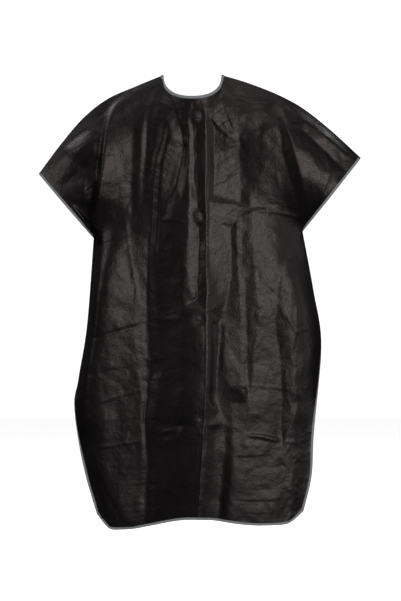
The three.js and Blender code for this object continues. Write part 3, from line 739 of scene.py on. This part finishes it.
ROWS = np.linspace(0, 1, 381)
TOP = len(ROWS) - 1
SIDE_COLUMNS, FLAP_COLUMNS = 84, 46
FRONT_NECK_COLUMNS, BACK_NECK_COLUMNS = 12, 22
BACK_SIDE_COLUMNS, CROWDING = 70, 1.25


def crowd(n, neck_share, neck_count):
    """Columns of a side: neck_count on the neck edge, the rest closer towards the outer edge."""
    rest = 1 - (1 - np.linspace(0, 1, n - neck_count + 1)) ** CROWDING
    return np.concatenate([np.linspace(0, neck_share, neck_count + 1)[:-1],
                           mix(neck_share, 1, rest)])


# How far to each side of its fold a front is drawn smooth, in mm and as a share of the way to an
# edge, and over what share of the height this fades out at the neck
FOLD_SPAN, FOLD_SHARE, NECK_FADE = 62, 0.6, 0.04


def over_the_fold(grid):
    """The same front without the groove between its side and its flap, below the neck."""
    made = grid.copy()
    for row, v in enumerate(ROWS):
        x, y = grid[row, :, 0], grid[row, :, 1]
        far = abs(x - x[SIDE_COLUMNS - 1])
        span = min(FOLD_SPAN, far[SIDE_COLUMNS:].max() * FOLD_SHARE, far[0] * FOLD_SHARE)
        first = SIDE_COLUMNS - 1 - int(np.argmax(far[SIDE_COLUMNS - 1::-1] > span))
        last = SIDE_COLUMNS + int(np.argmax(far[SIDE_COLUMNS:] > span))
        slope_a, slope_b = ((y[k] - y[k - 3]) / (x[k] - x[k - 3]) for k in (first, last + 3))
        width = x[last] - x[first]
        t = (x[first:last + 1] - x[first]) / width
        smooth = ((2 * t**3 - 3 * t**2 + 1) * y[first] + (3 * t**2 - 2 * t**3) * y[last]
                  + (t**3 - 2 * t**2 + t) * width * slope_a + (t**3 - t**2) * width * slope_b)
        share = smoothstep((1 - v) / NECK_FADE)
        made[row, first:last + 1, 1] = mix(y[first:last + 1], smooth, share)
    return made


RELAX_ROUNDS, RELAX_FLAP = 200, 16  # RELAX_FLAP is how many of a flap's columns take part


def relaxed(grid, last):
    """The grid with its points evened out between its edges, up to the column last."""
    grid = grid.copy()
    for _ in range(RELAX_ROUNDS):
        grid[1:-1, 1:last] = (grid[2:, 1:last] + grid[:-2, 1:last] + grid[1:-1, 2:last + 1]
                              + grid[1:-1, :last - 1]) / 4
    return grid


# Near a slit the cloth turns outward: over what width, how steeply and how curved, and over what
# share of the height this begins
SLIT_TURN, SLIT_SLOPE, SLIT_CURVE, SLIT_FADE = 34, 0.85, 0.35, 0.2


def turned_out(grid, slit_top):
    """The grid with its first column, a side edge, turned outward along the slit."""
    for row, v in enumerate(ROWS):
        share = smoothstep((slit_top - v) / SLIT_FADE)
        if share == 0:
            break
        x, y = grid[row, :, 0], grid[row, :, 1]
        far = abs(x - x[0])
        last = int(np.argmax(far > SLIT_TURN))
        t = (far[last] - far[:last]) / far[last]
        inward = np.sign(y[0] - y[last]) * SLIT_SLOPE * far[last] * (t - SLIT_CURVE * t * t)
        grid[row, :last, 1] = mix(y[:last], y[last] + inward, share)
    return grid


def front_grid(side):
    """A front from its outer edge to its free edge, with the relief on it."""
    columns = crowd(SIDE_COLUMNS, SIDES[side]["neck_share"], FRONT_NECK_COLUMNS)
    body = side_grid(side, columns, ROWS, back=False)[:, ::-1]
    flap = flap_grid(side, np.linspace(0, 1, FLAP_COLUMNS + 1), ROWS)
    grid = relaxed(np.concatenate([body, flap[:, 1:]], axis=1), SIDE_COLUMNS + RELAX_FLAP)
    grid = turned_out(over_the_fold(grid), SIDES[side]["slit_top"])
    grid[..., 1] -= settled_relief(grid[..., 0], grid[..., 2]) * near_seams(grid, side)
    return grid


def back_grid():
    """The back from the right edge to the left one, with the relief on it."""
    columns = crowd(BACK_SIDE_COLUMNS, BACK_NECK_SHARE, BACK_NECK_COLUMNS)
    right, left = (side_grid(side, columns, ROWS, back=True) for side in SIDES)
    grid = np.concatenate([right[:, ::-1], left[:, 1:]], axis=1)
    grid = relaxed(grid, grid.shape[1] - 1)
    turned_out(grid, SIDES["right"]["slit_top"])
    turned_out(grid[:, ::-1], SIDES["left"]["slit_top"])
    grid[..., 1] += back_relief(grid[..., 0], grid[..., 2]) * near_seams(grid, *SIDES)
    return grid


FRONT = {side: front_grid(side) for side in SIDES}
BACK = back_grid()

pieces = {
    side: closed_sheet(f"{side}_front", FRONT[side], SIDES[side]["hand"]) for side in SIDES
}
pieces["back"] = closed_sheet("back", BACK, -1, "root")
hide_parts("back_panel")


def blend_across(piece):
    """Bakes a piece's transform into its mesh."""
    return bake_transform(piece)


for side in SIDES:
    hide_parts(f"{side}_front_side", f"{side}_front_flap")
    blend_across(pieces[side])

# ---- Tape, folded over every raw edge

# The tape's section: (share of its width, height from the cloth's middle)
TAPE_PROFILE = np.array([
    (1, 0.85), (1, 0.5), (0.08, 0.5), (0.08, -0.5), (1, -0.5), (1, -0.85), (0, -0.85),
    (-0.1, -0.6), (-0.14, 0), (-0.1, 0.6), (0, 0.85)])
STITCH_IN, TAPE_FACE = 0.78, 0.85  # share of the tape's width, and height of its face
NECK_TAPE, EDGE_TAPE = 6.0, 5.2
ARM_START = 0.004  # share of the height from the underarm to the sleeve's tape
IN_SMOOTHING, OUT_SMOOTHING = 6, 2


def smoothed(rows, rounds):
    for _ in range(rounds):
        padded = np.pad(rows, ((1, 1), (0, 0)), mode="edge")
        rows = (padded[:-2] + padded[2:] + 2 * rows) / 4
    return rows


def tape(name, grid, flip, path, width, nodes, body=None):
    """A tape and its stitches along a path, in place of those CAD nodes."""
    rows, columns, down, across = (np.array(k) for k in zip(*path))
    edge = grid[rows, columns]
    inward = smoothed(unit(grid[rows + down, columns + across] - edge), IN_SMOOTHING)
    normal = smoothed(grid_normals(grid, flip)[rows, columns], OUT_SMOOTHING)
    ahead = unit(np.gradient(edge, axis=0))
    square_in, square_out = (unit(line - ahead * (line * ahead).sum(-1, keepdims=True))
                             for line in (unit(inward), normal))
    profile = TAPE_PROFILE * (width, 1)
    rings = (edge[:, None] + square_in[:, None] * profile[None, :, :1]
             + square_out[:, None] * profile[None, :, 1:])
    index = np.arange(rings.size // 3).reshape(rings.shape[:2])
    faces = [*ring_quads(index), index[0][::-1], index[-1]]
    if (np.cross(square_in, square_out) * ahead).sum(-1).mean() < 0:
        faces = [f[::-1] for f in faces]
    uvs = np.stack(np.broadcast_arrays(lengths(edge)[:, None], lengths(profile)[None]), -1)
    made = mesh_object(name, rings.reshape(-1, 3), faces, uvs.reshape(-1, 2) * MM, TAPE, body)
    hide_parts(*nodes)
    row = edge + inward * width * STITCH_IN + normal * TAPE_FACE
    sewn = stitches(f"{name}_stitches", row, normal, GREY_THREAD, body)
    return [made, sewn]


# Paths along a grid's edges: (row, column, rows in, columns in)

def neck_path(columns):
    return [(TOP, k, -4, 0) for k in columns]


def hem_path(columns):
    return [(0, k, 3, 0) for k in columns]


def side_path(rows, column=0):
    return [(k, column, 0, -3 if column else 3) for k in rows]


slit_rows = {side: int((ROWS <= SIDES[side]["slit_top"]).sum()) for side in SIDES}
arm_rows = range(int(np.argmax(ROWS >= UNDERARM + ARM_START)), TOP - 1)
tapes = {}
for side in SIDES:
    last = FRONT[side].shape[1] - 1
    loops = {
        "neck": (neck_path(range(SIDE_COLUMNS - FRONT_NECK_COLUMNS, last + 1)), NECK_TAPE),
        "hem": (side_path(range(slit_rows[side], 0, -1)) + hem_path(range(1, last + 1)),
                EDGE_TAPE),
        "sleeve": (side_path(arm_rows), EDGE_TAPE),
    }
    tapes[side] = []
    for end, (path, width) in loops.items():
        node, moves = f"{end}_binding_{side}_", end != "sleeve"
        made = tape(f"{end}_tape_{side}_front", FRONT[side], SIDES[side]["hand"], path, width,
                    [node + "side", node + "flap"] if moves else [node + "front"],
                    None if moves else "root")
        if moves:
            for piece in made:
                blend_across(piece)
        tapes[side] += made

last = BACK.shape[1] - 1
neck_columns = range(last // 2 - BACK_NECK_COLUMNS, last // 2 + BACK_NECK_COLUMNS + 1)
loops = {
    "neck_{}_back": (neck_path(neck_columns), NECK_TAPE),
    "hem_{}_back": (side_path(range(slit_rows["right"], 0, -1)) + hem_path(range(1, last))
                    + side_path(range(1, slit_rows["left"] + 1), last), EDGE_TAPE),
    "sleeve_{}_right_back": (side_path(arm_rows), EDGE_TAPE),
    "sleeve_{}_left_back": (side_path(arm_rows, last), EDGE_TAPE),
}
tapes["back"] = []
for name, (path, width) in loops.items():
    tapes["back"] += tape(name.format("tape"), BACK, -1, path, width, [name.format("binding")],
                          "root")

# ---- Placket facings and seam allowances

FACING_TRIM = 0.0075  # share of the height by which a facing stops short at each end
PLACKET_STITCHES = 3  # columns in from the strip's inner line to its stitching
facing_rows = (ROWS > FACING_TRIM) & (ROWS < 1 - FACING_TRIM)
strip_from = SIDE_COLUMNS + math.ceil(FAN * FLAP_COLUMNS)
for side in SIDES:
    strip = FRONT[side][facing_rows, strip_from:].copy()
    strip[..., 1] += FACING_STEP
    made = closed_sheet(f"{side}_facing", strip, SIDES[side]["hand"], f"{side}_front")
    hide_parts(f"{side}_placket_facing")
    pieces[f"{side}_facing"] = made

for side in SIDES:
    at = facing_rows, strip_from + PLACKET_STITCHES
    normal = grid_normals(FRONT[side], SIDES[side]["hand"])[at]
    row = FRONT[side][at] + normal * CLOTH_THICKNESS / 2
    sewn = stitches(f"{side}_placket_stitches", row, smoothed(normal, 3), BLACK_THREAD,
                    f"{side}_front")
    tapes[side].append(sewn)

SEAM_START, SEAM_WIDTH, SEAM_PLIES = 3, 8, 0.9
SEAM_COLUMNS, SEAM_ROWS = 7, 90
SEAM_SWAY, SEAM_WAVE = 0.5, 0.9  # how far an allowance sways to and fro, and how often
SHOULDER_ENDS, SIDE_ENDS = (0.03, 0.96), (0.03, 0.985)  # shares of the seam lines


def seam_allowance(name, line, sign, node):
    """Two pressed edges of cloth that stand inward from a seam line in the side plane."""
    ahead = unit(np.gradient(line, axis=0))
    inward = np.stack([ahead[:, 1], -ahead[:, 0]], -1) * sign
    reach = SEAM_START + np.linspace(0, SEAM_WIDTH, SEAM_COLUMNS)
    flat = line[:, None] + inward[:, None] * reach[None, :, None]
    t = np.arange(len(line))[:, None]
    sway = SEAM_SWAY * np.sin(t * SEAM_WAVE + sign) * (reach[None] - SEAM_START) / SEAM_WIDTH
    grid = np.stack([flat[..., 0], sway, flat[..., 1]], -1)
    made = closed_sheet(name, grid, 1, "root", SEAM_PLIES)
    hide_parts(node)
    return made


for side, s in SIDES.items():
    down = np.linspace(s["slit_top"] / UNDERARM + SIDE_ENDS[0], SIDE_ENDS[1], SEAM_ROWS)
    lines = {"shoulder": (spline_even(s["ridge"], np.linspace(*SHOULDER_ENDS, SEAM_ROWS)), 1),
             "side": (spline_even(s["edge"], down), -1)}
    for kind, (line, turn) in lines.items():
        pieces[f"{kind}_seam_{side}"] = seam_allowance(
            f"{kind}_allowance_{side}", line, turn * s["sign"], f"{kind}_seam_{side}")

# ---- Snaps

CAD_CLOTH, CAD_GAP, CAD_FACING, SNAP_GAP = 1.1, 0.35, 0.9, 0.5
# Heights out of the cone of a flap's face and of its facing's back, with the snaps' clearance
(over_face, over_back), (under_face, under_back) = (
    (SIDES[side]["layer"] + CAD_CLOTH / 2 + SNAP_GAP,
     SIDES[side]["layer"] - CAD_CLOTH / 2 - CAD_GAP - CAD_FACING - SNAP_GAP) for side in SIDES)


def raised(base, *profile):
    return [(r, base + h) for r, h in profile]


# (radius, height out of the cone), from the axis on one face to that on the other
SNAP_PROFILES = {
    "snap_cap": ("right_front", raised(over_back, (0, 0.05), (1.5, 0.05)) + raised(
        over_face, (1.5, 0), (5.7, 0), (6, 0.2), (6, 0.5), (5.75, 0.75), (5.2, 0.9), (4.9, 0.8),
        (4.6, 0.95), (3.4, 1.3), (1.8, 1.52), (0, 1.6))),
    "snap_socket": ("right_front", [
        (1.85, over_back), (1.85, 0.95), (2.1, 0.8), (2.8, 0.75), (2.8, 0.15), (3, 0), (4.8, 0),
        (5.2, 0.12), (5.4, 0.4), (5.4, over_back), (1.85, over_back)]),
    "snap_stud": ("left_front", raised(
        under_face, (0, 0), (4.6, 0), (4.8, 0.1), (4.75, 0.33), (2.4, 0.45), (2.1, 0.6)) + [
            (2.15, 0), (2.35, 0.35), (2.2, 0.6), (1.8, 0.7), (0, 0.7)]),
    "snap_back_cap": ("left_front", raised(
        under_back, (0, -1.2), (4.6, -1.2), (4.95, -1), (5, 0), (1.5, 0)) + raised(
            under_face, (1.5, -SNAP_GAP), (0, -SNAP_GAP))),
}
SNAP_TURNS = 40


def lathe(name, profile, seat, out, body):
    """A profile turned about the line through the seat."""
    side_way = unit(np.cross(out, [0, 0, 1]))
    up_way = np.cross(out, side_way)
    turn = full_turn(SNAP_TURNS)
    ring = np.cos(turn)[:, None] * side_way + np.sin(turn)[:, None] * up_way
    points, rings = [], []
    for r, h in profile:
        if r == 0:
            rings.append([len(points)] * SNAP_TURNS)
            points.append(seat + out * h)
        else:
            rings.append(list(range(len(points), len(points) + SNAP_TURNS)))
            points += list(seat + out * h + ring * r)
    if profile[0] == profile[-1]:
        rings[-1] = rings[0]
        points = points[:-SNAP_TURNS]
    faces = [list(dict.fromkeys([low[k], low[n], high[n], high[k]]))[::-1]
             for low, high in zip(rings, rings[1:])
             for k, n in enumerate([*range(1, SNAP_TURNS), 0])]
    uvs = [((p - seat) @ side_way * MM, (p - seat) @ up_way * MM) for p in points]
    return mesh_object(name, points, faces, uvs, PLASTIC, body)


for part, (body, profile) in SNAP_PROFILES.items():
    for number, ((seat, out), lift) in enumerate(zip(SEATS, SEAT_LIFTS), 1):
        made = lathe(f"{part}_smooth_{number}", profile, seat - np.array([0, lift, 0]), out, body)
        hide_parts(f"{part}_{number}")

# ---- Cut sizes and areas of the cloth pieces, and the tapes on each

# The rectangle that each piece is cut from, in metres, and the piece's area
CUTS = {"right": ((0.50, 1.12), 0.37), "left": ((0.52, 1.12), 0.35), "back": ((0.95, 1.12), 0.66)}
for part, (cut, area) in CUTS.items():
    along = tapes[part]
    if part == "back":
        along = along + [piece for name, piece in pieces.items() if "_seam_" in name]

# ---- Camera, lights and floor

# The view's middle, its distance, and the height that it shows there
VIEW_X, VIEW_Z, VIEW_DISTANCE, VIEW_HEIGHT = 0.0192, -0.541, 5.0, 1.4424
SENSOR = (24, 36)

scene = bpy.context.scene
camera = bpy.data.objects.new("camera", bpy.data.cameras.new("camera"))
scene.collection.objects.link(camera)
camera.location = (VIEW_X, -VIEW_DISTANCE, VIEW_Z)
camera.rotation_euler = (math.radians(90), 0, 0)
camera.data.sensor_fit = "VERTICAL"
camera.data.sensor_width, camera.data.sensor_height = SENSOR
camera.data.lens = SENSOR[1] * VIEW_DISTANCE / VIEW_HEIGHT
scene.camera = camera


def area_light(name, at, size, power, target=(0, 0, -0.5)):
    data = bpy.data.lights.new(name, "AREA")
    data.shape, data.size, data.size_y, data.energy = "RECTANGLE", *size, power
    light = bpy.data.objects.new(name, data)
    light.location = at
    light.rotation_euler = (Vector(target) - Vector(at)).to_track_quat("-Z", "Y").to_euler()
    light.visible_camera = False
    scene.collection.objects.link(light)


area_light("key", (2.0, -3.5, 0.6), (1.0, 1.3), 47, (0, 0, -0.45))
area_light("right", (4.0, -0.8, 0.2), (1.0, 2.4), 11)
area_light("left", (-3.8, -1.4, 1.7), (1.2, 1.4), 25)
area_light("top", (0.2, -1.2, 3.0), (2.4, 1.2), 19)
area_light("back_left", (-1.9, 2.8, 2.4), (1.6, 1.6), 90)
area_light("back_right", (2.1, 2.8, 2.2), (1.6, 1.6), 70)

world = bpy.data.worlds.new("studio")
scene.world = world
world.use_nodes = True
background = world.node_tree.nodes["Background"].inputs
background["Color"].default_value, background["Strength"].default_value = (1, 1, 1, 1), 1.15
world.cycles_visibility.glossy = False
scene.view_settings.view_transform = "Standard"

FLOOR_REACH, FLOOR_Z = 9000, -1330
corners = FLOOR_REACH * np.array([(-1, -1), (1, -1), (1, 1), (-1, 1)])
floor = mesh_object("floor", [(x, y, FLOOR_Z) for x, y in corners], [(0, 1, 2, 3)], corners * MM,
                    Shading("pale_floor").shader(Base_Color=(0.9, 0.9, 0.9, 1), Roughness=0.9))
floor.visible_glossy = False
